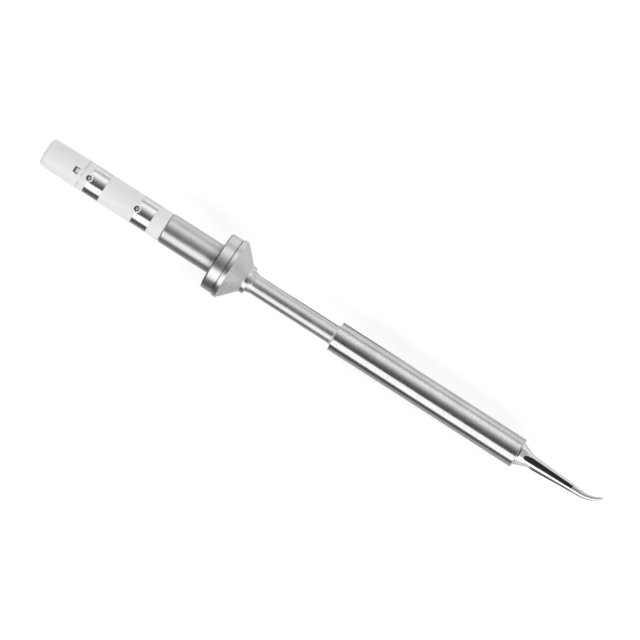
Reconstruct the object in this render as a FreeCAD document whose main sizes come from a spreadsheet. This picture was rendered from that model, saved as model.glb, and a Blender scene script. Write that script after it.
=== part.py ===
# Plug-in heater cartridge for a soldering iron, with a fine bent point.
# The cartridge lies along X with its point towards +X.
# The origin is on its centre line, in the plane of the collar's rear face, which seats in the handle.
# The point bends towards +Y, and the sight holes and the cap's latch window face +Z.
import FreeCAD, Part
import math
import os
import re
import Sketcher

# Driving dimensions in millimetres and degrees
SIZES = {
    # Fits
    "fit_gap": 0.01,              # radial gap of a pressed or slid fit
    # Shank, behind the collar
    "shank_dia": 5.5,
    "shank_wall": 0.4,
    "shank_reach": 10.1,          # what stands out behind the collar
    "shank_seat": 2.4,            # what sits in the collar's rear bore
    "seat_step": 0.16,            # depth to which the shank is turned down for the collar
    "shank_cone": 0.3,            # length of the conical shoulder that stops the collar
    "shank_nose": 0.52,           # length and fall of the taper at its rear end
    "nose_fall": 0.2,
    # Connector body, moulded over the two contact rings
    "body_step": 0.07,            # how far its surface lies below the shank's
    "front_land": 2.5,
    "middle_land": 6.4,
    "rear_land": 1.3,
    "insert_depth": 6.0,          # spigot pressed into the shank
    "lead_channel_dia": 2.4,
    "channel_end": 0.9,           # how far the channel runs behind the rear lead
    "spigot_length": 5.0,         # spigot that carries the cap
    "hole_dia": 0.9,              # sight hole over each welded lead end
    # Contact rings
    "ring_wall": 0.35,
    "ring_length": 3.1,
    "notch_radius": 0.71,
    "tongue_width": 0.6,
    "tongue_thickness": 0.2,
    "tongue_hold": 0.5,           # overlap of the tongue on the ring in front of the notch
    # End cap
    "cap_length": 7.5,
    "cap_wall": 0.57,
    "cap_end_wall": 0.8,
    "cap_bevel": 0.32,
    "window_setback": 0.6,
    "window_length": 1.08,
    "window_width": 1.1,
    "window_round": 0.12,
    "latch_length": 0.66,
    "latch_width": 0.86,
    "latch_rise": 0.4,
    "latch_root": 0.1,            # how deep the latch is rooted in the round spigot
    "latch_crest": 0.1,           # flat top of the wedge
    # Collar
    "collar_dia": 10.4,
    "rim_length": 2.3,
    "rim_bevel": 0.2,
    "band_rise": 0.2,
    "band_length": 0.77,
    "cone_length": 2.8,
    "hub_length": 0.78,
    "hub_wall": 0.54,
    "hub_root_round": 0.5,
    "bore_land": 0.95,            # between the shank's bore and the neck's
    # Neck tube
    "neck_dia": 3.47,
    "neck_wall": 0.3,
    "neck_reach": 16.95,          # what shows between the collar and the sleeve
    "neck_root_step": 0.215,      # extra radius of what sits in the collar's front bore
    "neck_lip": 0.3,
    "neck_taper": 1.0,
    "neck_insert": 3.4,           # what sits in the sleeve
    # Heater sleeve
    "sleeve_wall": 0.5,
    "sleeve_length": 36.3,
    "sleeve_floor": 0.8,
    "sleeve_bevel": 0.2,
    "swage_length": 0.4,
    "swage_rise": 0.34,
    "swage_edge": 0.05,
    # Bit
    "bit_shoulder": 0.1,
    "flare_length": 2.6,
    "flare_curve": 9.0,
    "flare_end_dia": 2.5,
    "cone_reach": 9.7,
    "bend_start_dia": 1.3,
    "bend_radius": 5.9,
    "bend_angle": 38.5,
    "point_dia": 0.58,
    "point_bevel": 0.15,
    "bit_wall": 0.63,             # around the heater
    "bit_core": 4.1,              # solid copper between the heater's bore and the flare
    "heat_gap": 4.4,              # air between the neck tube and the bit's shank
    # Leads
    "lead_dia": 0.4,
    "lead_gap": 0.03,             # around a lead in a ceramic bore
    "lead_offset": 0.7,           # from the return lead on the centre line to the heater lead above it
    # Twin-bore insulator
    "insulator_gap": 0.015,       # around it in the neck tube
    "insulator_start": 0.8,
    "insulator_front": 2.0,       # how far it stands out of the neck tube
    # Heater
    "liner_wall": 0.4,
    "liner_floor": 0.8,
    "liner_gap": 0.4,             # from the liner's closed end to the end of the bit's bore
    "core_setback": 0.8,
    "ribbon_width": 0.36,
    "ribbon_thickness": 0.2,
    "coil_turns": 4,
    "coil_margin": 0.9,
    "coil_tail": 2.0,
    "crimp_dia": 0.9,
    "crimp_length": 1.0,
    "crimp_gap": 0.2,
}

doc = FreeCAD.newDocument("soldering_cartridge")
sheet = doc.addObject("Spreadsheet::Sheet", "sizes")
for line, (alias, size) in enumerate(SIZES.items(), start=1):
    sheet.set(f"A{line}", alias)
    sheet.set(f"B{line}", str(size))
    sheet.setAlias(f"B{line}", alias)
doc.recompute()

UP = FreeCAD.Vector(0, 0, 1)
nodes = []


def value(expression):
    """The present value of an expression on the sheet's dimensions."""
    return float(sheet.evalExpression(expression))


def bound(expression):
    """The same expression as another object of the document writes it."""
    return re.sub(r"[a-z_]+", lambda word: f"sizes.{word[0]}" if word[0] in SIZES else word[0], expression)


def piece(label, station="0"):
    """A body whose datum face lies at a station along the cartridge."""
    body = doc.addObject("PartDesign::Body", label)
    body.Label = label
    body.setExpression("Placement.Base.x", bound(station))
    nodes.append(body)
    return body


def sketch_on(body, plane, name, out="0"):
    """A sketch on one of the body's own origin planes, moved out along that plane's normal."""
    sketch = body.newObject("Sketcher::SketchObject", name)
    datum = [item for item in body.Origin.OriginFeatures if item.Role == plane][0]
    sketch.AttachmentSupport = [(datum, "")]
    sketch.MapMode = "FlatFace"
    sketch.setExpression("AttachmentOffset.Base.z", bound(out))
    return sketch


def bind(sketch, kind, *place, size):
    """One dimension of a sketch, driven by an expression."""
    index = sketch.addConstraint(Sketcher.Constraint(kind, *place, value(size)))
    sketch.setExpression(f"Constraints[{index}]", bound(size))


def locate(sketch, item, end, across, up):
    """Fix a point of a sketch at two expressions, measured from the sketch's origin."""
    for kind, axis, size in (("DistanceX", -2, across), ("DistanceY", -1, up)):
        if size == "0":
            sketch.addConstraint(Sketcher.Constraint("PointOnObject", item, end, axis))
        else:
            bind(sketch, kind, -1, 1, item, end, size=size)


def arc_between(start, finish, radius):
    """An arc of a signed radius: it bulges to the right of its way for a positive one."""
    chord = finish - start
    height = math.sqrt(radius * radius - chord.Length ** 2 / 4)
    side = FreeCAD.Vector(-chord.y, chord.x, 0).normalize() * math.copysign(1, radius)
    centre = (start + finish) * 0.5 + side * height
    middle = centre - side * abs(radius)
    return Part.Arc(start, middle, finish)


def outline(sketch, corners):
    """A closed outline.  A corner is (across, up), or (across, up, signed radius of the arc to the next)."""
    places = [FreeCAD.Vector(value(corner[0]), value(corner[1]), 0) for corner in corners]
    ends = []
    for start, finish, corner in zip(places, places[1:] + places[:1], corners):
        if len(corner) == 2:
            item = sketch.addGeometry(Part.LineSegment(start, finish))
        else:
            item = sketch.addGeometry(arc_between(start, finish, value(corner[2])))
        forward = (sketch.getPoint(item, 1) - start).Length < (sketch.getPoint(item, 2) - start).Length
        ends.append((item, 1 if forward else 2, 2 if forward else 1))
    for (item, first, last), corner, (other, other_first, _) in zip(ends, corners, ends[1:] + ends[:1]):
        sketch.addConstraint(Sketcher.Constraint("Coincident", item, last, other, other_first))
        locate(sketch, item, first, corner[0], corner[1])
        if len(corner) == 3:
            bind(sketch, "Radius", item, size=f"abs({corner[2]})")


def circle(sketch, across, up, diameter):
    """A circle whose centre and diameter are expressions."""
    centre = FreeCAD.Vector(value(across), value(up), 0)
    item = sketch.addGeometry(Part.Circle(centre, UP, value(diameter) / 2))
    locate(sketch, item, 3, across, up)
    bind(sketch, "Diameter", item, size=diameter)


def turn(body, corners):
    """A turned or moulded round form: its outline is spun about the centre line."""
    sketch = sketch_on(body, "XZ_Plane", f"{body.Label}_outline")
    outline(sketch, corners)
    spun = body.newObject("PartDesign::Revolution", f"{body.Label}_turned")
    spun.Profile = sketch
    spun.ReferenceAxis = (sketch, ["H_Axis"])
    spun.Angle = 360
    doc.recompute()


def pad(body, sketch, length, middle=False):
    """Material added on a sketch."""
    added = body.newObject("PartDesign::Pad", f"{sketch.Name}_pad")
    added.Profile = sketch
    added.Midplane = middle
    added.setExpression("Length", bound(length))
    doc.recompute()


def cut_upwards(body, sketch):
    """An opening cut from the sketch outwards, through the wall above it."""
    before = body.Shape.Volume
    opening = body.newObject("PartDesign::Pocket", f"{sketch.Name}_cut")
    opening.Profile = sketch
    opening.Type = "ThroughAll"
    opening.Reversed = True
    doc.recompute()
    if body.Shape.Volume >= before:
        raise ValueError(f"{opening.Name} removes nothing")


def carry(body, profile, path):
    """A profile carried along every edge of a path."""
    swept = body.newObject("PartDesign::AdditivePipe", f"{path.Name}_pipe")
    swept.Profile = profile
    edges = [item for item in path.Geometry if not isinstance(item, Part.Point)]
    swept.Spine = (path, [f"Edge{number + 1}" for number in range(len(edges))])
    return swept


def dress(body, kind, chosen, size):
    """A fillet or chamfer on the edges that the test picks."""
    feature = body.Tip
    names = [f"Edge{number}" for number, edge in enumerate(feature.Shape.Edges, start=1)
             if not edge.Degenerated and chosen(edge)]
    dressed = body.newObject(f"PartDesign::{kind}", f"{body.Label}_{kind.lower()}")
    dressed.Base = (feature, names)
    dressed.setExpression("Radius" if kind == "Fillet" else "Size", bound(size))
    doc.recompute()


def rim_at(across, radius):
    """A test for the round edge at a station and radius of a piece."""
    def chosen(edge):
        rim = edge.Curve
        return isinstance(rim, Part.Circle) and abs(rim.Center.x - value(across)) < 1e-5 \
            and abs(rim.Radius - value(radius)) < 1e-5 and math.hypot(rim.Center.y, rim.Center.z) < 1e-5
    return chosen


# Lengths that follow from the sizes
collar_length = "(rim_length + band_length + cone_length + hub_length)"
shank_part = "(sleeve_length - neck_insert - heat_gap)"
bore_depth = f"({shank_part} - bit_core)"
liner_length = f"({bore_depth} - liner_gap)"
heater_end = "(crimp_gap + crimp_length + ribbon_thickness + fit_gap)"
core_length = f"({liner_length} - liner_floor - core_setback - {heater_end})"

# Stations along the cartridge
shank_rear = "-shank_reach"
front_ring_rear = f"{shank_rear} - front_land - ring_length"
rear_ring_rear = f"{front_ring_rear} - middle_land - ring_length"
seam = f"{rear_ring_rear} - rear_land"
neck_rear = "(shank_seat + bore_land)"
sleeve_rear = f"({collar_length} + neck_reach)"
neck_front = f"{sleeve_rear} + neck_insert"
bit_rear = f"{neck_front} + heat_gap"
sleeve_front = f"{sleeve_rear} + sleeve_length"
core_rear = f"{bit_rear} + core_setback"
core_front = f"{core_rear} + {core_length}"
crimp_rear = f"{core_front} + crimp_gap"

# Radii of the plug, from the shank inwards
shank_bore = "(shank_dia / 2 - shank_wall)"
seat_radius = "(shank_dia / 2 - seat_step)"
body_radius = "(shank_dia / 2 - body_step)"
ring_inside = f"({body_radius} - ring_wall)"
spigot_radius = f"({body_radius} - cap_wall - fit_gap)"

# Radii of the neck, from the tube inwards and outwards
neck_bore = "(neck_dia / 2 - neck_wall)"
insulator_radius = f"({neck_bore} - insulator_gap)"
insulator_fit = f"({insulator_radius} + fit_gap)"
root_radius = "(neck_dia / 2 + neck_root_step)"
hub_radius = f"({root_radius} + fit_gap + hub_wall)"

# Radii of the heated end, from the core outwards
coil_inside = "(lead_offset + lead_dia / 2)"
coil_outside = f"({coil_inside} + ribbon_thickness)"
core_radius = f"({coil_inside} - fit_gap)"
liner_bore = f"(sqrt({coil_outside} ^ 2 + ribbon_width ^ 2 / 4) + fit_gap)"
liner_radius = f"({liner_bore} + liner_wall)"
bit_bore = f"({liner_radius} + fit_gap)"
bit_radius = f"({bit_bore} + bit_wall)"
sleeve_bore = f"({bit_radius} + fit_gap)"
sleeve_radius = f"({sleeve_bore} + sleeve_wall)"


def make_end_cap():
    """White moulded cup.  Its side window takes the latch on the connector body's spigot."""
    cap = piece("end_cap", seam)
    bore = f"{spigot_radius} + fit_gap"
    bore_end = "-(cap_length - cap_end_wall)"
    turn(cap, [
        ("0", bore),
        ("0", body_radius),
        ("-cap_length", body_radius),
        ("-cap_length", "0"),
        (bore_end, "0"),
        (bore_end, bore),
    ])
    dress(cap, "Chamfer", rim_at("-cap_length", body_radius), "cap_bevel")
    window = sketch_on(cap, "XY_Plane", "cap_window")
    outline(window, [
        ("-(window_setback + window_length)", "-window_width / 2"),
        ("-window_setback", "-window_width / 2"),
        ("-window_setback", "window_width / 2"),
        ("-(window_setback + window_length)", "window_width / 2"),
    ])
    cut_upwards(cap, window)
    corner_side = value("window_width / 2")
    dress(cap, "Fillet", lambda edge: isinstance(edge.Curve, Part.Line)
          and abs(edge.Curve.Direction.z) > 0.999
          and abs(abs(edge.CenterOfMass.y) - corner_side) < 1e-5, "window_round")


def make_contact_ring(label, station, lead_height):
    """Metal ring with a half-round notch in its rear edge and a bent tongue inside for the lead."""
    ring = piece(label, station)
    turn(ring, [
        ("0", ring_inside),
        ("0", body_radius),
        ("ring_length", body_radius),
        ("ring_length", ring_inside),
    ])
    notch = sketch_on(ring, "XY_Plane", f"{label}_notch")
    circle(notch, "0", "0", "notch_radius * 2")
    cut_upwards(ring, notch)
    tongue = sketch_on(ring, "XZ_Plane", f"{label}_tongue")
    under = f"{ring_inside} - tongue_thickness"
    over = f"{ring_inside} + fit_gap * 5"
    outline(tongue, [
        ("-tongue_thickness / 2", f"{lead_height} - lead_dia / 2"),
        ("tongue_thickness / 2", f"{lead_height} - lead_dia / 2"),
        ("tongue_thickness / 2", under),
        ("notch_radius + tongue_hold", under),
        ("notch_radius + tongue_hold", over),
        ("-tongue_thickness / 2", over),
    ])
    pad(ring, tongue, "tongue_width", middle=True)
    return ring


def make_connector(rings):
    """White body moulded over the two rings, with a spigot for the shank and one for the cap."""
    blank = piece("insulator_blank", shank_rear)
    nodes.remove(blank)
    front_at = "-(front_land + ring_length)"
    rear_at = f"({front_at} - middle_land - ring_length)"
    rear_face = f"({rear_at} - rear_land)"
    turn(blank, [
        ("insert_depth", "lead_channel_dia / 2"),
        ("insert_depth", f"{shank_bore} - fit_gap"),
        ("0", f"{shank_bore} - fit_gap"),
        ("0", body_radius),
        (rear_face, body_radius),
        (rear_face, spigot_radius),
        (f"{rear_face} - spigot_length", spigot_radius),
        (f"{rear_face} - spigot_length", "0"),
        (f"{rear_at} - channel_end", "0"),
        (f"{rear_at} - channel_end", "lead_channel_dia / 2"),
    ])
    latch = sketch_on(blank, "XZ_Plane", "latch")
    latch_front = f"({rear_face} - window_setback - fit_gap)"
    outline(latch, [
        (f"{latch_front} - latch_length", f"{spigot_radius} - latch_root"),
        (latch_front, f"{spigot_radius} - latch_root"),
        (latch_front, f"{spigot_radius} + latch_rise"),
        (f"{latch_front} - latch_crest", f"{spigot_radius} + latch_rise"),
    ])
    pad(blank, latch, "latch_width", middle=True)
    for side, station in (("front", front_at), ("rear", rear_at)):
        sight = sketch_on(blank, "XY_Plane", f"{side}_sight_hole")
        circle(sight, station, "0", "hole_dia")
        cut_upwards(blank, sight)
    inserts = doc.addObject("Part::MultiFuse", "ring_inserts")
    inserts.Shapes = rings
    body = doc.addObject("Part::Cut", "insulator_body")
    body.Label = "insulator_body"
    body.Base = blank
    body.Tool = inserts
    doc.recompute()
    nodes.append(body)


def make_shank():
    """Ground steel tube that guides the cartridge in the handle, with a turned seat for the collar."""
    shank = piece("shank", shank_rear)
    turn(shank, [
        ("0", shank_bore),
        ("0", "shank_dia / 2 - nose_fall"),
        ("shank_nose", "shank_dia / 2"),
        ("shank_reach", "shank_dia / 2"),
        ("shank_reach + shank_cone", seat_radius),
        ("shank_reach + shank_seat", seat_radius),
        ("shank_reach + shank_seat", shank_bore),
    ])


def make_collar():
    """Turned seat: rim, wider band, cone and hub, bored from both ends."""
    collar = piece("collar")
    shank_fit = f"{seat_radius} + fit_gap"
    root_fit = f"{root_radius} + fit_gap"
    band_radius = "collar_dia / 2 + band_rise"
    turn(collar, [
        ("0", "shank_dia / 2 + fit_gap"),
        ("0", "collar_dia / 2"),
        ("rim_length", "collar_dia / 2"),
        ("rim_length", band_radius),
        ("rim_length + band_length", band_radius),
        ("rim_length + band_length + cone_length", hub_radius),
        (collar_length, hub_radius),
        (collar_length, root_fit),
        (neck_rear, root_fit),
        (neck_rear, insulator_fit),
        ("shank_seat", insulator_fit),
        ("shank_seat", shank_fit),
        ("shank_cone", shank_fit),
    ])
    dress(collar, "Chamfer", rim_at("0", "collar_dia / 2"), "rim_bevel")
    dress(collar, "Fillet", rim_at("rim_length + band_length + cone_length", hub_radius), "hub_root_round")


def make_neck_tube():
    """Thin tube that keeps heat from the collar, with a thicker root that tapers into it."""
    neck = piece("neck_tube", neck_rear)
    taper_start = f"({collar_length} - {neck_rear} + neck_lip)"
    length = f"{collar_length} - {neck_rear} + neck_reach + neck_insert"
    turn(neck, [
        ("0", neck_bore),
        ("0", root_radius),
        (taper_start, root_radius),
        (f"{taper_start} + neck_taper", "neck_dia / 2"),
        (length, "neck_dia / 2"),
        (length, neck_bore),
    ])


def make_heater_sleeve():
    """Turned stainless cup, swaged on to the neck tube at its closed end."""
    sleeve = piece("heater_sleeve", sleeve_rear)
    neck_fit = "(neck_dia / 2 + fit_gap)"
    turn(sleeve, [
        ("-swage_length", neck_fit),
        ("-swage_length", f"{neck_fit} + swage_edge"),
        ("0", f"{neck_fit} + swage_rise"),
        ("0", sleeve_radius),
        ("sleeve_length", sleeve_radius),
        ("sleeve_length", sleeve_bore),
        ("sleeve_floor", sleeve_bore),
        ("sleeve_floor", neck_fit),
    ])
    dress(sleeve, "Chamfer", rim_at("sleeve_length", sleeve_radius), "sleeve_bevel")


def make_bit():
    """Plated copper bit: bored shank in the sleeve, concave flare, long cone and a bent, tapered point."""
    bit = piece("bit", sleeve_front)
    rear = f"-{shank_part}"
    bend_start = "(flare_length + cone_reach)"
    turn(bit, [
        (rear, bit_bore),
        (rear, bit_radius),
        ("bit_shoulder", bit_radius, "-flare_curve"),
        ("flare_length", "flare_end_dia / 2"),
        (bend_start, "bend_start_dia / 2"),
        (bend_start, "0"),
        (f"{rear} + {bore_depth}", "0"),
        (f"{rear} + {bore_depth}", bit_bore),
    ])
    path = sketch_on(bit, "XY_Plane", "bend_path")
    angle = math.radians(value("bend_angle"))
    radius = value("bend_radius")
    centre = FreeCAD.Vector(value(bend_start), radius, 0)
    arc = path.addGeometry(Part.ArcOfCircle(Part.Circle(centre, UP, radius), -math.pi / 2, angle - math.pi / 2))
    locate(path, arc, 3, bend_start, "bend_radius")
    locate(path, arc, 1, bend_start, "0")
    bind(path, "DistanceX", -1, 1, arc, 2, size=f"{bend_start} + bend_radius * sin(bend_angle)")
    wide = sketch_on(bit, "YZ_Plane", "bend_wide_end", bend_start)
    circle(wide, "0", "0", "bend_start_dia")
    fine = sketch_on(bit, "YZ_Plane", "bend_fine_end", f"{bend_start} + bend_radius * sin(bend_angle)")
    fine.AttachmentOffset = FreeCAD.Placement(
        fine.AttachmentOffset.Base, FreeCAD.Rotation(FreeCAD.Vector(0, 1, 0), value("bend_angle")))
    fine.setExpression("AttachmentOffset.Base.x", bound("bend_radius * (1 - cos(bend_angle))"))
    fine.setExpression("AttachmentOffset.Rotation.Angle", bound("bend_angle"))
    circle(fine, "0", "0", "point_dia")
    doc.recompute()
    point = carry(bit, wide, path)
    point.Sections = [fine]
    point.Transformation = "Multisection"
    doc.recompute()
    end = value("point_dia / 2")
    dress(bit, "Chamfer", lambda edge: edge.BoundBox.XMin > value(bend_start) + 1
          and abs(edge.Length - 2 * math.pi * end) < 0.01, "point_bevel")


def make_rod(label, station, length, circles):
    """Straight round stock, solid or with its bores in the same section."""
    rod = piece(label, station)
    section = sketch_on(rod, "YZ_Plane", f"{label}_section")
    for up, diameter in circles:
        circle(section, "0", up, diameter)
    pad(rod, section, length)


def make_heater():
    """Ceramic core, wound ribbon, closed liner and the crimp that joins ribbon and return lead."""
    core = piece("heater_core", core_rear)
    turn(core, [
        ("0", "lead_dia / 2 + lead_gap"),
        ("0", core_radius),
        (core_length, core_radius),
        (core_length, "lead_dia / 2 + lead_gap"),
    ])
    liner = piece("heater_liner", bit_rear)
    turn(liner, [
        ("0", liner_bore),
        ("0", liner_radius),
        (liner_length, liner_radius),
        (liner_length, "0"),
        (f"{liner_length} - liner_floor", "0"),
        (f"{liner_length} - liner_floor", liner_bore),
    ])
    coil = piece("heater_coil", core_rear)
    start = "coil_margin"
    finish = f"({core_length} - coil_margin)"
    ribbon = sketch_on(coil, "XZ_Plane", "ribbon_section")
    outline(ribbon, [
        (f"{start} - ribbon_width / 2", coil_inside),
        (f"{start} + ribbon_width / 2", coil_inside),
        (f"{start} + ribbon_width / 2", coil_outside),
        (f"{start} - ribbon_width / 2", coil_outside),
    ])
    winding = coil.newObject("PartDesign::AdditiveHelix", "winding")
    winding.Profile = ribbon
    winding.ReferenceAxis = (ribbon, ["H_Axis"])
    winding.Mode = "height-turns-angle"
    winding.setExpression("Height", bound(f"{finish} - {start}"))
    winding.setExpression("Turns", bound("coil_turns"))
    doc.recompute()
    rear_tail = sketch_on(coil, "XZ_Plane", "rear_tail")
    outline(rear_tail, [
        (f"{start} - coil_tail", coil_inside),
        (start, coil_inside),
        (start, coil_outside),
        (f"{start} - coil_tail", coil_outside),
    ])
    pad(coil, rear_tail, "ribbon_width", middle=True)
    crimp_front = f"({core_length} + crimp_gap + crimp_length)"
    front_tail = sketch_on(coil, "XZ_Plane", "front_tail")
    outline(front_tail, [
        (finish, coil_inside),
        (crimp_front, coil_inside),
        (crimp_front, "-ribbon_width / 2"),
        (f"{crimp_front} + ribbon_thickness", "-ribbon_width / 2"),
        (f"{crimp_front} + ribbon_thickness", coil_outside),
        (finish, coil_outside),
    ])
    pad(coil, front_tail, "ribbon_width", middle=True)
    make_rod("sensor_crimp", crimp_rear, "crimp_length", [("0", "crimp_dia")])


make_end_cap()
front_ring = make_contact_ring("contact_ring_front", front_ring_rear, "lead_offset")
rear_ring = make_contact_ring("contact_ring_rear", rear_ring_rear, "0")
make_connector([front_ring, rear_ring])
make_shank()
make_collar()
make_neck_tube()
make_heater_sleeve()
make_bit()

# The heater lead joins the front ring's tongue to the coil's rear tail.
heater_lead_rear = f"{front_ring_rear} + tongue_thickness / 2"
make_rod("heater_lead", heater_lead_rear, f"{core_rear} - crimp_gap - ({heater_lead_rear})",
         [("lead_offset", "lead_dia")])

# The return lead joins the rear ring's tongue to the crimp, through the core's bore.
return_lead_rear = f"{rear_ring_rear} + tongue_thickness / 2"
make_rod("return_lead", return_lead_rear, f"{crimp_rear} - ({return_lead_rear})", [("0", "lead_dia")])

make_rod("lead_insulator", "insulator_start", f"{neck_front} + insulator_front - insulator_start",
         [("0", f"2 * {insulator_radius}"), ("0", "lead_dia + 2 * lead_gap"),
          ("lead_offset", "lead_dia + 2 * lead_gap")])

make_heater()

doc.recompute()
for item in doc.Objects:
    if "Invalid" in item.State or "Error" in item.State:
        raise ValueError(f"{item.Name} failed: {item.State}")
for node in nodes:
    if node.Shape.isNull() or not node.Shape.isValid() or len(node.Shape.Solids) != 1:
        raise ValueError(f"{node.Label} is not one valid solid")

os.makedirs("parts", exist_ok=True)
for node in nodes:
    node.Shape.exportStep(f"parts/{node.Label}.step")
    print(f"{node.Label}: {node.Shape.Volume:.3f} mm3")
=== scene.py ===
import bmesh
import bpy
import math
from mathutils import Matrix, Vector


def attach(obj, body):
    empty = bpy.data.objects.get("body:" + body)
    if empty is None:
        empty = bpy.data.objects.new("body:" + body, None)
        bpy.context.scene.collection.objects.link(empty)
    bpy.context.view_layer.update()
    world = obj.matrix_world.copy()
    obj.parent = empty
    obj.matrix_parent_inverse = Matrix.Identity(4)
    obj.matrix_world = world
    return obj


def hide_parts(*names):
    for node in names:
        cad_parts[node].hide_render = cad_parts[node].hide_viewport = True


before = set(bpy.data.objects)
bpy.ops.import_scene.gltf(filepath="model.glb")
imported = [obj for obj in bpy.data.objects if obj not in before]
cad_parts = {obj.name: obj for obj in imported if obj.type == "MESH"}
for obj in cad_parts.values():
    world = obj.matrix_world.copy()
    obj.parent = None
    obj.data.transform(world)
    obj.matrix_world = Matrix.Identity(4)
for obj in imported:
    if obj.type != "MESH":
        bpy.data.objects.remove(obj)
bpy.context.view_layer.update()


# Table and studio.  The cartridge lies on a pale matt table, on its collar's band and its sleeve's
# front edge.  Its centre line is level here, so the table rises a little towards the point.
MM = 0.001
BAND_REST = (3.07, -5.4)
SLEEVE_REST = (59.7, -2.675)
TABLE_HALF = 1.5
TABLE_GLOW = 0.39

table_rise = (SLEEVE_REST[1] - BAND_REST[1]) / (SLEEVE_REST[0] - BAND_REST[0])


def table_height(x):
    """The table's height in mm under a place on the centre line."""
    return BAND_REST[1] + (x - BAND_REST[0]) * table_rise


class Wire:
    """A socket of a material.  Python's operators on it add Math nodes."""

    def __init__(self, tree, socket=None):
        self.tree = tree
        self.socket = socket

    def node(self, kind, settings=None, inputs=None, out=0):
        """A new node.  Its settings come first, then the values or links of its inputs."""
        node = self.tree.nodes.new(kind)
        for name, setting in (settings or {}).items():
            if name == "stops":
                ramp = node.color_ramp
                for position, _ in setting[2:]:
                    ramp.elements.new(position)
                for element, (position, colour) in zip(ramp.elements, setting):
                    element.position = position
                    element.color = colour
            else:
                setattr(node, name, setting)
        for name, given in (inputs or {}).items():
            if isinstance(given, Wire):
                self.tree.links.new(given.socket, node.inputs[name])
            else:
                node.inputs[name].default_value = given
        return Wire(self.tree, node.outputs[out])

    def maths(self, operation, first, second=0.0):
        return self.node("ShaderNodeMath", {"operation": operation}, {0: first, 1: second})

    def __add__(self, other):
        return self.maths("ADD", self, other)

    __radd__ = __add__

    def __sub__(self, other):
        return self.maths("SUBTRACT", self, other)

    def __rsub__(self, other):
        return self.maths("SUBTRACT", other, self)

    def __mul__(self, other):
        return self.maths("MULTIPLY", self, other)

    __rmul__ = __mul__

    def __truediv__(self, other):
        return self.maths("DIVIDE", self, other)

    def __rtruediv__(self, other):
        return self.maths("DIVIDE", other, self)

    def __abs__(self):
        return self.maths("ABSOLUTE", self)

    def step(self, start, end):
        """0 before start and 1 after end, smooth between them."""
        return self.node("ShaderNodeMapRange", {"interpolation_type": "SMOOTHSTEP"},
                         {"Value": self, "From Min": start, "From Max": end})

    def between(self, start, end, fade):
        """1 from start to end in mm, and 0 further outside them than the fade."""
        risen = self.step((start - fade) * MM, start * MM)
        return risen * (1 - self.step(end * MM, (end + fade) * MM))

    def mix(self, first, second):
        """The first colour where this is 0, and the second where it is 1."""
        return self.node("ShaderNodeMix", {"data_type": "RGBA"},
                         {"Factor": self, 6: first, 7: second}, out=2)

    def axis(self, name):
        """The X, Y or Z of a place or direction."""
        return self.node("ShaderNodeSeparateXYZ", {}, {0: self}, out=name)

    def noise(self, scale, detail):
        """A cloudy pattern over a place."""
        return self.node("ShaderNodeTexNoise", {},
                         {"Vector": self, "Scale": scale, "Detail": detail})

    def bump(self, strength, distance):
        """The normal of a surface that has this as its height."""
        return self.node("ShaderNodeBump", {},
                         {"Strength": strength, "Distance": distance, "Height": self})


def grey(level):
    return (level, level, level, 1)


def new_finish(name, **constants):
    """A new material, a wire with the place on the piece, and the shader with its constants."""
    material = bpy.data.materials.new(name)
    material.use_nodes = True
    tree = material.node_tree
    surface = tree.nodes["Principled BSDF"]
    for socket, number in constants.items():
        surface.inputs[socket.replace("_", " ")].default_value = number
    return material, Wire(tree).node("ShaderNodeTexCoord", out="Object"), surface


def feed(surface, **wires):
    """Varying values into the shader."""
    for socket, wire in wires.items():
        wire.tree.links.new(wire.socket, surface.inputs[socket.replace("_", " ")])


def place(bm, name, material):
    """A finished mesh as an object at the origin."""
    mesh = bpy.data.meshes.new(name)
    bm.to_mesh(mesh)
    bm.free()
    mesh.materials.append(material)
    piece = bpy.data.objects.new(name, mesh)
    bpy.context.scene.collection.objects.link(piece)
    return piece


paper, spot, surface = new_finish("table_white", Roughness=0.75, Specular_IOR_Level=0.2)
feed(surface, Base_Color=spot.noise(900.0, 3.0).mix(grey(0.90), grey(0.92)))
seen = spot.node("ShaderNodeLightPath", out="Is Camera Ray") \
    + spot.node("ShaderNodeLightPath", out="Is Glossy Ray") \
    + spot.node("ShaderNodeLightPath", out="Is Transmission Ray")
glow = spot.node("ShaderNodeEmission", {}, {"Color": grey(1), "Strength": seen * TABLE_GLOW})
matt = Wire(spot.tree, surface.outputs["BSDF"])
lit = spot.node("ShaderNodeAddShader", {}, {0: matt, 1: glow})
spot.tree.links.new(lit.socket, spot.tree.nodes["Material Output"].inputs["Surface"])

bm = bmesh.new()
bmesh.ops.create_grid(bm, x_segments=1, y_segments=1, size=TABLE_HALF)
bmesh.ops.rotate(bm, verts=bm.verts, matrix=Matrix.Rotation(-math.atan(table_rise), 3, "Y"))
bmesh.ops.translate(bm, verts=bm.verts, vec=(0, 0, table_height(0) * MM))
table = place(bm, "table", paper)

# The room's greys round the cartridge, each at its tilt in degrees from overhead, positive
# towards -Y.  The wall ahead of the point is pale, and the one behind the plug is dark.
ROOM_GREYS = (
    (-90, 0.7), (-80, 0.58), (-70, 0.64), (-60, 1.15), (-42, 1.17), (-30, 0.84), (-15, 0.41),
    (0, 0.18), (8, 0.12), (26, 0.11), (34, 0.22), (75, 0.3), (90, 0.5),
)
BEHIND_GREY = 0.04

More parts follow.
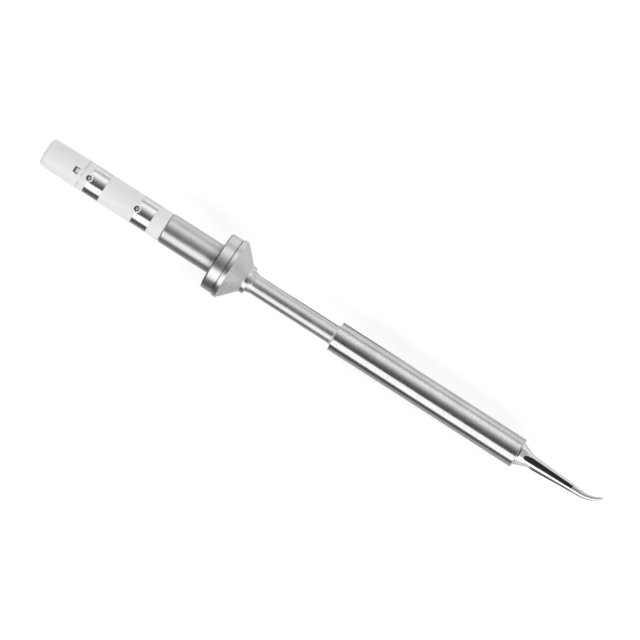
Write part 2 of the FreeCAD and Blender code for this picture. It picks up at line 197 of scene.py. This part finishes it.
bpy.context.scene.view_settings.view_transform = "Standard"
world = bpy.data.worlds.new("studio")
bpy.context.scene.world = world
world.use_nodes = True
ray = Wire(world.node_tree).node("ShaderNodeTexCoord", out="Generated")
lengthwise = ray.axis("X")
tilt = ray.maths("ARCTAN2", -1 * ray.axis("Y"), ray.axis("Z")) * (180 / math.pi)
stops = [((angle + 90) / 180, grey(level)) for angle, level in ROOM_GREYS]
sides = ray.node("ShaderNodeValToRGB", {"stops": stops}, {0: (tilt + 90) / 180})
ahead_grey = (0.5 + 0.6 * tilt.step(-5, 45)) * (1 - 0.45 * lengthwise.step(0.88, 1))
ahead_and_sides = lengthwise.step(0.4, 0.6).mix(sides, ahead_grey)
behind = (-1 * lengthwise).step(0.75, 0.9) * (1 - tilt.step(10, 40))
room = behind.mix(ahead_and_sides, grey(BEHIND_GREY))
world.node_tree.links.new(room.socket, world.node_tree.nodes["Background"].inputs["Color"])

SOFTBOX_LENGTH = 2.4
SOFTBOX_MIDDLE = 0.02


def softbox(name, lean, distance, width, radiance):
    """A long soft lamp over the cartridge.  It leans from overhead, positive towards -Y."""
    lamp = bpy.data.lights.new(name, "AREA")
    lamp.shape = "RECTANGLE"
    lamp.size = SOFTBOX_LENGTH
    lamp.size_y = width
    lamp.energy = radiance * math.pi * lamp.size * width
    light = bpy.data.objects.new(name, lamp)
    angle = math.radians(lean)
    light.rotation_euler = (angle, 0, 0)
    light.location = (SOFTBOX_MIDDLE, -distance * math.sin(angle), distance * math.cos(angle))
    bpy.context.scene.collection.objects.link(light)
    return light


softbox("key_softbox", 52.5, 0.8, 0.66, 1.3)
softbox("top_scrim", -25, 1.9, 1.6, 0.55).visible_glossy = False


def flag(name, along, near, far, greys, fade, taper=1.0, lift=0.0):
    """A card that only metal mirrors.  Along gives its ends' x, and near and far its long edges,
    each (y, height over the table), all in mm.  It goes from the first grey at the near edge to
    the second over the fade.  Taper scales the near edge's y at the front end, and lift raises
    that end."""
    card, spot, surface = new_finish(name, Base_Color=grey(0), Specular_IOR_Level=0.0,
                                     Emission_Strength=1.0)
    fading = spot.axis("Y").step(near[0] * MM, (near[0] + fade) * MM)
    feed(surface, Emission_Color=fading.mix(grey(greys[0]), grey(greys[1])))
    bm = bmesh.new()
    bmesh.ops.create_grid(bm, x_segments=1, y_segments=1, size=1)
    for vert in bm.verts:
        at_front, at_near = vert.co.x > 0, vert.co.y < 0
        x = along[at_front]
        y, height = near if at_near else far
        if at_front:
            y *= taper if at_near else 1
            height += lift
        vert.co = Vector((x, y, table_height(x) + height)) * MM
    piece = place(bm, name, card)
    piece.visible_camera = False
    piece.visible_diffuse = False
    piece.visible_shadow = False


# A dark card and a grey one run along the cartridge, one each side.  Two dark ones lie over and
# beside the bit, a small one darkens the upper edge of neck and sleeve, and a pale upright one
# keeps the flare light.
flag("dark_flag", (-80, 120), (-8, 0.1), (-60, 15.8), (0.5, 0.1), -8, taper=0.35)
flag("grey_flag", (-80, 120), (4.0, 0.1), (60, 9.0), (0.6, 0.97), 12)
flag("bit_flag", (65, 76.2), (-12.8, 20), (31, 20), (0.065, 0.025), 14)
flag("bit_floor_flag", (63.4, 160), (-2.4, 0.15), (-60, 11), (0.035, 0.035), -5)
flag("edge_flag", (14, 37), (11.5, 1.6), (2.8, 0.12), (0.7, 0.22), -8, taper=0.25)
flag("flare_card", (62.85, 62.9), (-2.4, 0.1), (-120, 0.1), (0.68, 0.68), -5, lift=4.6)

# The camera looks down from far off and a little ahead of overhead, turned so that the point is
# at the lower right.
SENSOR_WIDTH = 36
CAMERA_DISTANCE = 1600
PICTURE_WIDTH = 106.8
PICTURE_MIDDLE = (19.97, 0.87, 0)
VIEW_LEAN = math.radians(2.64)
VIEW_ROLL = math.radians(32.67)

camera = bpy.data.cameras.new("camera")
camera.sensor_width = SENSOR_WIDTH
camera.lens = SENSOR_WIDTH * CAMERA_DISTANCE / PICTURE_WIDTH
camera.clip_end = 10
back = Vector((math.sin(VIEW_LEAN), 0, math.cos(VIEW_LEAN)))
along = Vector((math.cos(VIEW_LEAN), 0, -math.sin(VIEW_LEAN)))
side = Vector((0, 1, 0))
right = along * math.cos(VIEW_ROLL) + side * math.sin(VIEW_ROLL)
up = side * math.cos(VIEW_ROLL) - along * math.sin(VIEW_ROLL)
camera_object = bpy.data.objects.new("camera", camera)
camera_object.matrix_world = \
    Matrix.Translation(Vector(PICTURE_MIDDLE) * MM + back * (CAMERA_DISTANCE * MM)) \
    @ Matrix((right, up, back)).transposed().to_4x4()
bpy.context.scene.collection.objects.link(camera_object)
bpy.context.scene.camera = camera_object


# Connector body.  White plastic, moulded over both contact rings and pressed into the shank; a
# sight hole over each ring's notch shows where the lead is welded to the tongue.
FIT_GAP = 0.01
PLUG_RADIUS = 2.68
BODY_FRONT = -4.1
SHANK_REAR = -10.1
SHANK_INSIDE = 2.35
SEAM = -26.5
CAP_SPIGOT_RADIUS = 2.03
CAP_SPIGOT_END = -31.5
CHANNEL_RADIUS = 1.2
CHANNEL_REAR = -26.1
FRONT_RING = -15.7
REAR_RING = -25.2
RING_LENGTH = 3.1
RING_INSIDE = 2.33
RING_GROOVE_OUTSIDE = 3.2
NOTCH_RADIUS = 0.71
HOLE_RADIUS = 0.48
HOLE_CHAMFER = 0.08
POCKET = ((-28.15, -0.52, 1.2), (-27.13, 0.52, 2.2))
LATCH = ((-27.82, -0.41, 1.1), (-27.11, 0.41, 2.43))
LATCH_FALL = 0.38
CUTTER_HEIGHT = 4
TOLERANCE = 1e-6
SHARP_ANGLE = math.radians(32)


def turned(corners, rounds=(), steps=160, closed=True):
    """A round form about X: an outline of (x, radius) in mm, spun.  A round is (corner number,
    size, segments)."""
    bm = bmesh.new()
    verts = [bm.verts.new((x * MM, 0, r * MM)) for x, r in corners]
    edges = [bm.edges.new(pair) for pair in zip(verts, verts[1:])]
    if closed and corners[0][1] > 0:
        edges.append(bm.edges.new((verts[-1], verts[0])))
    bmesh.ops.spin(bm, geom=verts + edges, cent=(0, 0, 0), axis=(1, 0, 0), angle=2 * math.pi,
                   steps=steps, use_merge=True)
    bmesh.ops.remove_doubles(bm, verts=bm.verts, dist=TOLERANCE / 10)
    bmesh.ops.recalc_face_normals(bm, faces=bm.faces)
    for number, size, segments in rounds:
        x, r = corners[number]
        rim = [edge for edge in bm.edges if all(
            abs(vert.co.x - x * MM) < TOLERANCE
            and abs(math.hypot(vert.co.y, vert.co.z) - r * MM) < TOLERANCE
            for vert in edge.verts)]
        bmesh.ops.bevel(bm, geom=rim, offset=size * MM, segments=segments, profile=0.5,
                        affect="EDGES", material=-1, offset_type="OFFSET", clamp_overlap=False)
    return bm


def upright_cone(x, low_radius, high_radius, low, high):
    """A round cutter in mm that stands over the centre line."""
    bm = bmesh.new()
    bmesh.ops.create_cone(bm, cap_ends=True, segments=64, radius1=low_radius * MM,
                          radius2=high_radius * MM, depth=(high - low) * MM)
    bmesh.ops.translate(bm, verts=bm.verts, vec=(x * MM, 0, (low + high) / 2 * MM))
    return bm


def post(x, radius):
    """A cutter for a hole or a notch, from the centre line outwards."""
    return upright_cone(x, radius, radius, 0, CUTTER_HEIGHT)


def mouth(x):
    """A cutter that chamfers the mouth of a sight hole."""
    reach = 0.3
    middle = PLUG_RADIUS - HOLE_CHAMFER
    return upright_cone(x, HOLE_RADIUS - reach, HOLE_RADIUS + reach, middle - reach, middle + reach)


def block(low, high, round_size=0.0):
    """A box in mm, with rounded upright edges if asked."""
    bm = bmesh.new()
    bmesh.ops.create_cube(bm, size=1)
    bmesh.ops.scale(bm, verts=bm.verts, vec=[(b - a) * MM for a, b in zip(low, high)])
    bmesh.ops.translate(bm, verts=bm.verts, vec=[(a + b) / 2 * MM for a, b in zip(low, high)])
    if round_size:
        upright = [edge for edge in bm.edges
                   if abs((edge.verts[0].co - edge.verts[1].co).normalized().z) > 0.9]
        bmesh.ops.bevel(bm, geom=upright, offset=round_size * MM, segments=6, profile=0.5,
                        affect="EDGES", material=-1)
    return bm


def combine(piece, bm, operation):
    """Cut another mesh out of a piece, or join it on, for good."""
    other = place(bm, "cutter", piece.data.materials[0])
    boolean = piece.modifiers.new("boolean", "BOOLEAN")
    boolean.operation = operation
    boolean.object = other
    boolean.solver = "EXACT"
    bpy.context.view_layer.update()
    evaluated = piece.evaluated_get(bpy.context.evaluated_depsgraph_get())
    mesh = bpy.data.meshes.new_from_object(evaluated)
    piece.modifiers.clear()
    old = piece.data
    piece.data = mesh
    mesh.name = piece.name
    bpy.data.meshes.remove(old)
    bpy.data.objects.remove(other)
    bm = bmesh.new()
    bm.from_mesh(mesh)
    bmesh.ops.remove_doubles(bm, verts=bm.verts, dist=TOLERANCE)
    bmesh.ops.dissolve_degenerate(bm, edges=bm.edges, dist=TOLERANCE)
    bm.to_mesh(mesh)
    bm.free()


def shade_smooth(piece):
    piece.data.polygons.foreach_set("use_smooth", [True] * len(piece.data.polygons))


def fit(piece, node):
    """Shade a finished piece smooth between its corners, and let it stand for its node."""
    shade_smooth(piece)
    piece.data.set_sharp_from_angle(angle=SHARP_ANGLE)
    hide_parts(node)
    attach(piece, "root")


# Satin white plastic: a faint mould texture, handling marks, dirt and painted shade in the seam
# under the cap, and grey resin with painted shade in the bottom of the latch pocket.
white_plastic, spot, surface = new_finish("white_plastic", Specular_IOR_Level=0.42,
                                          Subsurface_Weight=0.06, Subsurface_Scale=0.0005)
x, y, z = spot.axis("X"), spot.axis("Y"), spot.axis("Z")
cloud = spot.noise(260.0, 4.0)
grain = spot.noise(5200.0, 2.0)
patchy = spot.noise(1500.0, 3.0)
clean = cloud.mix((0.85, 0.85, 0.845, 1), (0.91, 0.91, 0.905, 1))
# The dark line along the seam is dirt and painted shade of the joint between cap and body.
seam_dirt_and_shade = (1 - abs(x - SEAM * MM).step(0.04 * MM, 0.11 * MM)) * patchy.step(0.38, 0.6)
soiled_and_shaded = seam_dirt_and_shade.mix(clean, (0.46, 0.455, 0.45, 1))
# The bottom of the latch pocket is painted grey, as resin and as painted shade of the recess.
in_pocket = x.between(-28.2, -27.1, 0.04) \
    * z.step(1.0 * MM, 1.05 * MM) * (1 - z.step(1.24 * MM, 1.3 * MM)) \
    * (1 - (y * y).step((0.57 * MM) ** 2, (0.6 * MM) ** 2))
pocket_resin_and_shade = patchy.mix(grey(0.34), grey(0.62))
feed(surface, Base_Color=in_pocket.mix(soiled_and_shaded, pocket_resin_and_shade), Roughness=0.38 + cloud * 0.1,
     Normal=grain.bump(0.25, 0.00001))


def ring_groove(x):
    """The space that a ring takes up in the moulding, open outwards."""
    groove = place(turned([
        (x, RING_INSIDE), (x, RING_GROOVE_OUTSIDE), (x + RING_LENGTH, RING_GROOVE_OUTSIDE),
        (x + RING_LENGTH, RING_INSIDE),
    ]), "groove", white_plastic)
    combine(groove, post(x, NOTCH_RADIUS), "DIFFERENCE")
    bm = bmesh.new()
    bm.from_mesh(groove.data)
    bpy.data.objects.remove(groove)
    return bm


body = place(turned([
    (CHANNEL_REAR, 0), (CHANNEL_REAR, CHANNEL_RADIUS), (BODY_FRONT, CHANNEL_RADIUS),
    (BODY_FRONT, SHANK_INSIDE - FIT_GAP), (SHANK_REAR, SHANK_INSIDE - FIT_GAP),
    (SHANK_REAR, PLUG_RADIUS), (SEAM, PLUG_RADIUS), (SEAM, CAP_SPIGOT_RADIUS),
    (CAP_SPIGOT_END, CAP_SPIGOT_RADIUS), (CAP_SPIGOT_END, 0),
], rounds=[(5, 0.05, 3), (6, 0.07, 3)]), "insulator_body_fine", white_plastic)
combine(body, block(*POCKET), "DIFFERENCE")
latch = block(*LATCH)
(latch_rear, _, latch_foot), (latch_front, _, latch_top) = LATCH
low_edge = [vert for vert in latch.verts if vert.co.x < (latch_rear + latch_front) / 2 * MM
            and vert.co.z > (latch_foot + latch_top) / 2 * MM]
bmesh.ops.translate(latch, verts=low_edge, vec=(0, 0, -LATCH_FALL * MM))
combine(body, latch, "UNION")
for ring_rear in (FRONT_RING, REAR_RING):
    combine(body, ring_groove(ring_rear), "DIFFERENCE")
    combine(body, post(ring_rear, HOLE_RADIUS), "DIFFERENCE")
    combine(body, mouth(ring_rear), "DIFFERENCE")
fit(body, "insulator_body")


# Contact rings.  Bright plated metal tube, notched at the rear edge round the sight hole; a bent
# tongue inside runs down to the welded lead.
CLEAR = 0.002
RING_RADIUS = 2.655
RING_EDGE = 0.05
TONGUE_HALF_WIDTH = 0.3
TONGUE_HALF_THICK = 0.1
TONGUE_TOP = 2.15
TONGUE_ROUND = 0.03
ARM_REACH = 1.21
ARM_LOW = 2.13
ARM_HIGH = 2.38
WELD_RADIUS = 0.24
WELD_FLATTEN = 0.4
WELD_AHEAD = 0.03


def steel(level):
    """A faintly warm grey."""
    return (level, level, level * 0.995, 1)


def ground_metal(name, greys, roughness, rings, depth, satin=None, dark=()):
    """Bare ground or turned metal: fine rings round the centre line, mottling and faint smears.
    Satin is a stretch that is left as turned, given as (start, end, roughness, grey).  Dark is
    the narrow stretches, each (start, end), painted dark grey: painted shade in the bottom of a
    groove, and a painted dark reflection on an edge."""
    material, spot, surface = new_finish(name, Metallic=1.0)
    x = spot.axis("X")
    fine = spot.node("ShaderNodeTexNoise", {"noise_dimensions": "1D"},
                     {"W": x * rings, "Scale": 1.0, "Detail": 5.0})
    cloud = spot.noise(420.0, 4.0)
    mottle = spot.noise(3200.0, 3.0)
    shade = (0.3 * cloud + 0.3 * fine + 0.4 * mottle).step(0.3, 0.7)
    rough = roughness * (0.55 + cloud * 0.5 + mottle * 0.4)
    colour = shade.mix(steel(greys[0]), steel(greys[1]))
    if satin:
        start, end, satin_roughness, satin_grey = satin
        dull = x.between(start, end, 0.05)
        rough = rough + dull * (satin_roughness - rough)
        colour = dull.mix(colour, (0.75 + 0.25 * shade).mix(grey(0), steel(satin_grey)))
        feed(surface, Metallic=1 - 0.35 * dull)
    # Painted shade: each dark stretch paints dark grey into the colour.
    for start, end in dark:
        colour = x.between(start, end, 0.02).mix(colour, grey(0.34))
    feed(surface, Base_Color=colour, Roughness=rough,
         Normal=(fine + 0.6 * mottle).bump(depth, 0.000004))
    return material


contact_metal = ground_metal("contact_metal", (0.70, 0.86), 0.15, 9000.0, 0.4)
for node, ring_rear, tongue_foot in (("contact_ring_front", FRONT_RING, 0.5),
                                     ("contact_ring_rear", REAR_RING, -0.2)):
    ring_front = ring_rear + RING_LENGTH
    ring = place(turned([
        (ring_rear, RING_INSIDE + CLEAR), (ring_rear, RING_RADIUS), (ring_front, RING_RADIUS),
        (ring_front, RING_INSIDE + CLEAR),
    ], rounds=[(1, RING_EDGE, 3), (2, RING_EDGE, 3)]), node + "_fine", contact_metal)
    combine(ring, post(ring_rear, NOTCH_RADIUS + 2 * CLEAR), "DIFFERENCE")
    for low, reach, high in ((tongue_foot, TONGUE_HALF_THICK, TONGUE_TOP),
                             (ARM_LOW, ARM_REACH, ARM_HIGH)):
        strip = block((ring_rear - TONGUE_HALF_THICK, -TONGUE_HALF_WIDTH, low),
                      (ring_rear + reach, TONGUE_HALF_WIDTH, high), TONGUE_ROUND)
        combine(ring, strip, "UNION")
    fit(ring, node)
    bm = bmesh.new()
    bmesh.ops.create_uvsphere(bm, u_segments=32, v_segments=16, radius=WELD_RADIUS * MM)
    bmesh.ops.scale(bm, verts=bm.verts, vec=(1, 1, WELD_FLATTEN))
    bmesh.ops.translate(bm, verts=bm.verts,
                        vec=((ring_rear + WELD_AHEAD) * MM, 0, ARM_HIGH * MM))
    weld = place(bm, node + "_weld", contact_metal)
    shade_smooth(weld)
    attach(weld, "root")


# End cap.  White moulded cup with a little draft and a rounded end, snapped over the body's
# spigot until the latch shows in its window.
CAP_INSIDE = CAP_SPIGOT_RADIUS + FIT_GAP
CAP_FLOOR = -33.2
DRAFT_START = -28.0
CAP_END_EDGE = (-33.8, 2.58)
CAP_CROWN = ((-33.94, 1.3), (-34.0, 0))
WINDOW = ((SEAM - 1.68, -0.55, 1), (SEAM - 0.6, 0.55, CUTTER_HEIGHT))
WINDOW_ROUND = 0.12

cap = place(turned([
    (SEAM, CAP_INSIDE), (SEAM, PLUG_RADIUS), (DRAFT_START, PLUG_RADIUS), CAP_END_EDGE, *CAP_CROWN,
    (CAP_FLOOR, 0), (CAP_FLOOR, CAP_INSIDE),
], rounds=[(3, 0.75, 10), (1, 0.07, 3)]), "end_cap_fine", white_plastic)
combine(cap, block(*WINDOW, WINDOW_ROUND), "DIFFERENCE")
fit(cap, "end_cap")


# Shank.  Ground stainless tube with a rounded rear end, pressed over the connector body.  A
# slightly thinner spigot at its front is pressed into the collar.
SHANK_RADIUS = 2.75
SPIGOT_RADIUS = 2.59
SPIGOT_REAR = 0.3
SHANK_FRONT = 2.4

shank_steel = ground_metal("shank_steel", (0.54, 0.68), 0.34, 7000.0, 0.5)
shank = place(turned([
    (SHANK_REAR, SHANK_INSIDE), (SHANK_REAR, SHANK_RADIUS), (0, SHANK_RADIUS),
    (SPIGOT_REAR, SPIGOT_RADIUS), (SHANK_FRONT, SPIGOT_RADIUS), (SHANK_FRONT, SHANK_INSIDE),
], rounds=[(1, 0.36, 8)]), "shank_fine", shank_steel)
fit(shank, "shank")


# Collar.  Turned stainless seat: a rim with a scribed groove, a slightly wider band, a satin cone
# and a short polished hub.
SEAT_RADIUS = 5.03
RIM_REAR = 0.27
RIM_RADIUS = 5.2
SCRIBE_REAR = 2.12
SCRIBE_RADIUS = 4.9
BAND_REAR = 2.3
BAND_RADIUS = 5.4
CONE_START = 3.07
HUB_START = 5.87
HUB_END = 6.65
HUB_RADIUS = 2.5
NECK_REAR = 3.35
NECK_SEAT_RADIUS = 1.96
PASSAGE_RADIUS = 1.43

# The dark stretches are painted shade in the scribed groove's bottom and a painted dark reflection
# on the rear chamfer.
collar_steel = ground_metal("collar_steel", (0.58, 0.74), 0.28, 6000.0, 0.5,
                            satin=(3.1, 5.8, 0.42, 0.76), dark=[(0.03, 0.25), (2.1, 2.28)])
collar = place(turned([
    (0, SHANK_RADIUS + FIT_GAP), (0, SEAT_RADIUS), (RIM_REAR, RIM_RADIUS),
    (SCRIBE_REAR, RIM_RADIUS), (SCRIBE_REAR, SCRIBE_RADIUS), (BAND_REAR, SCRIBE_RADIUS),
    (BAND_REAR, BAND_RADIUS), (CONE_START, BAND_RADIUS), (HUB_START, HUB_RADIUS),
    (HUB_END, HUB_RADIUS), (HUB_END, NECK_SEAT_RADIUS), (NECK_REAR, NECK_SEAT_RADIUS),
    (NECK_REAR, PASSAGE_RADIUS), (SHANK_FRONT, PASSAGE_RADIUS),
    (SHANK_FRONT, SPIGOT_RADIUS + FIT_GAP), (SPIGOT_REAR, SPIGOT_RADIUS + FIT_GAP),
], rounds=[
    (8, 0.1, 4), (1, 0.04, 3), (2, 0.03, 2), (7, 0.07, 3), (6, 0.05, 3), (9, 0.06, 3), (3, 0.05, 2),
], steps=256), "collar_fine", collar_steel)
fit(collar, "collar")


# Neck tube.  Thin stainless tube that keeps the heat from the collar; its thicker root fits the
# hub and falls in a small concave curve.
NECK_RADIUS = 1.735
NECK_INSIDE = 1.435
NECK_FRONT = 27.0
ROOT_RADIUS = 1.95
ROOT_END = 6.95
ROOT_FALL = ROOT_RADIUS - NECK_RADIUS
ROOT_STEPS = 10

neck_steel = ground_metal("neck_steel", (0.56, 0.74), 0.32, 7000.0, 0.6)
root = [(ROOT_END + i / ROOT_STEPS, NECK_RADIUS + ROOT_FALL * (1 - i / ROOT_STEPS) ** 2)
        for i in range(ROOT_STEPS + 1)]
neck = place(turned([
    (NECK_REAR, NECK_INSIDE), (NECK_REAR, ROOT_RADIUS), *root, (NECK_FRONT, NECK_RADIUS),
    (NECK_FRONT, NECK_INSIDE),
]), "neck_tube_fine", neck_steel)
fit(neck, "neck_tube")


# Heater sleeve.  Turned and finely ground stainless cup over the heater and the bit's shank,
# swaged on to the neck tube at its closed end.
SLEEVE_RADIUS = 2.674
SLEEVE_INSIDE = 2.175
SLEEVE_REAR = 23.2
SLEEVE_STEP = 23.6
SLEEVE_FLOOR = 24.4
SLEEVE_FRONT = 59.9
SWAGE = ((SLEEVE_REAR, 1.795), (23.33, 1.82), (23.46, 1.89), (23.55, 1.98), (SLEEVE_STEP, 2.085))

sleeve_steel = ground_metal("sleeve_steel", (0.52, 0.74), 0.17, 7000.0, 0.55,
                            satin=(23.1, 23.58, 0.4, 0.92))
sleeve = place(turned([
    (SLEEVE_REAR, NECK_RADIUS + FIT_GAP), *SWAGE, (SLEEVE_STEP, SLEEVE_RADIUS),
    (SLEEVE_FRONT, SLEEVE_RADIUS), (SLEEVE_FRONT, SLEEVE_INSIDE), (SLEEVE_FLOOR, SLEEVE_INSIDE),
    (SLEEVE_FLOOR, NECK_RADIUS + FIT_GAP),
], rounds=[(7, 0.22, 6), (6, 0.04, 2)]), "heater_sleeve_fine", sleeve_steel)
fit(sleeve, "heater_sleeve")


# Bit.  Plated copper: a concave flare, a long cone and a fine point bent towards +Y, tinned at
# the end.  Its shank fills the sleeve and is bored for the heater.
BIT_REAR = 31.4
BIT_SHANK_RADIUS = 2.1646
BORE_RADIUS = 1.535
BORE_DEPTH = 24.4
FLARE_START = 60.0
FLARE_END = 62.5
FLARE_RADIUS = 9
FLARE_STEPS = 12
CONE_RADIUS = 1.25
BEND_START = 72.2
BEND_RADIUS = 5.9
BEND_ANGLE = math.radians(38.5)
BEND_STEPS = 28
POINT_REAR_RADIUS = 0.65
POINT_END_RADIUS = 0.29
POINT_ROUND = 0.2
ROUND_STEPS = 7
TINNED_FROM = 70.5
TINNED_FADE = 0.08

bit_plating, spot, surface = new_finish("bit_plating", Metallic=1.0)
cloud = spot.noise(700.0, 4.0)
lumps = spot.noise(1900.0, 2.0)
ragged = spot.axis("X") + (cloud - 0.5) * (0.7 * MM)
tinned = ragged.step((TINNED_FROM - TINNED_FADE) * MM, (TINNED_FROM + TINNED_FADE) * MM)
plating = cloud.mix((0.80, 0.80, 0.795, 1), (0.90, 0.90, 0.895, 1))
solder = lumps.mix((0.90, 0.905, 0.91, 1), (0.96, 0.965, 0.97, 1))
feed(surface, Base_Color=tinned.mix(plating, solder),
     Roughness=0.05 + cloud * 0.05 + tinned * 0.3,
     Normal=(tinned * (1 + 0.6 * lumps)).bump(0.5, 0.00002))


def next_ring(bm, loop):
    """Extrude an open loop where it is, and give its new vertices and its new open edges."""
    grown = bmesh.ops.extrude_edge_only(bm, edges=loop)["geom"]
    return ([item for item in grown if isinstance(item, bmesh.types.BMVert)],
            [item for item in grown if isinstance(item, bmesh.types.BMEdge) and item.is_boundary])


def middle_of(ring):
    return sum((vert.co for vert in ring), Vector()) / len(ring)


def bent_point(bm):
    """Carry the open front loop round the bend while it tapers, and close it with a round end."""
    loop = [edge for edge in bm.edges if edge.is_boundary and edge.verts[0].co.x > FLARE_END * MM]
    pivot = Vector((BEND_START, BEND_RADIUS, 0)) * MM
    swept = BEND_ANGLE - POINT_ROUND / BEND_RADIUS
    bend_step = Matrix.Rotation(swept / BEND_STEPS, 3, "Z")
    radius = POINT_REAR_RADIUS
    for number in range(1, BEND_STEPS + 1):
        ring, loop = next_ring(bm, loop)
        bmesh.ops.rotate(bm, verts=ring, cent=pivot, matrix=bend_step)
        wanted = POINT_REAR_RADIUS + (POINT_END_RADIUS - POINT_REAR_RADIUS) * number / BEND_STEPS
        centre = middle_of(ring)
        for vert in ring:
            vert.co = centre + (vert.co - centre) * wanted / radius
        radius = wanted
    ahead = Vector((math.cos(swept), math.sin(swept), 0)) * MM
    for number in range(1, ROUND_STEPS):
        turn = math.pi / 2 * number / ROUND_STEPS
        ring, loop = next_ring(bm, loop)
        wanted = POINT_END_RADIUS * math.cos(turn)
        middle = middle_of(ring)
        moved = centre + ahead * POINT_ROUND * math.sin(turn)
        for vert in ring:
            vert.co = moved + (vert.co - middle) * wanted / radius
        radius = wanted
    bmesh.ops.poke(bm, faces=bmesh.ops.edgeloop_fill(bm, edges=loop)["faces"])


flare_from = Vector((FLARE_START, BIT_SHANK_RADIUS))
flare_to = Vector((FLARE_END, CONE_RADIUS))
chord = flare_to - flare_from
outwards = Vector((-chord.y, chord.x)).normalized()
hollow = (flare_from + flare_to) / 2 \
    + outwards * math.sqrt(FLARE_RADIUS ** 2 - chord.length ** 2 / 4)
flare = [hollow + (flare_from + chord * i / FLARE_STEPS - hollow).normalized() * FLARE_RADIUS
         for i in range(FLARE_STEPS + 1)]
bm = turned([
    (BIT_REAR, BORE_RADIUS), (BIT_REAR, BIT_SHANK_RADIUS), *[tuple(corner) for corner in flare],
    (BEND_START, POINT_REAR_RADIUS),
], steps=128, closed=False)
rear_rim = [edge for edge in bm.edges if edge.is_boundary and edge.verts[0].co.x < FLARE_START * MM]
bore_end, bore_rim = next_ring(bm, rear_rim)
bmesh.ops.translate(bm, verts=bore_end, vec=(BORE_DEPTH * MM, 0, 0))
bmesh.ops.edgeloop_fill(bm, edges=bore_rim)
bent_point(bm)
bmesh.ops.recalc_face_normals(bm, faces=bm.faces)
bit = place(bm, "bit_fine", bit_plating)
fit(bit, "bit")


# Wires.  Two drawn nickel leads and the crimp at the heater's end; their rear ends show in the
# sight holes, welded to the tongues.
def paint(material, *nodes):
    """Give nodes that stay as the CAD has them their finish."""
    for node in nodes:
        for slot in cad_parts[node].material_slots:
            slot.material = material


lead_wire = ground_metal("lead_wire", (0.50, 0.58), 0.3, 3000.0, 0.5)
paint(lead_wire, "heater_lead", "return_lead", "sensor_crimp")


# Heater.  Fired white ceramics and a wound ribbon of oxidised resistance alloy, all hidden in the
# neck, the sleeve and the bit.
ceramic, spot, surface = new_finish("ceramic", Roughness=0.7, Specular_IOR_Level=0.35)
grain = spot.noise(1800.0, 4.0)
feed(surface, Base_Color=grain.mix((0.80, 0.79, 0.75, 1), (0.88, 0.87, 0.83, 1)),
     Normal=grain.bump(0.3, 0.00002))
paint(ceramic, "lead_insulator", "heater_core", "heater_liner")

heater_ribbon, spot, surface = new_finish("heater_ribbon", Metallic=0.8)
scale = spot.noise(900.0, 5.0)
feed(surface, Base_Color=scale.mix((0.20, 0.19, 0.18, 1), (0.42, 0.40, 0.38, 1)),
     Roughness=0.4 + scale * 0.3)
paint(heater_ribbon, "heater_coil")
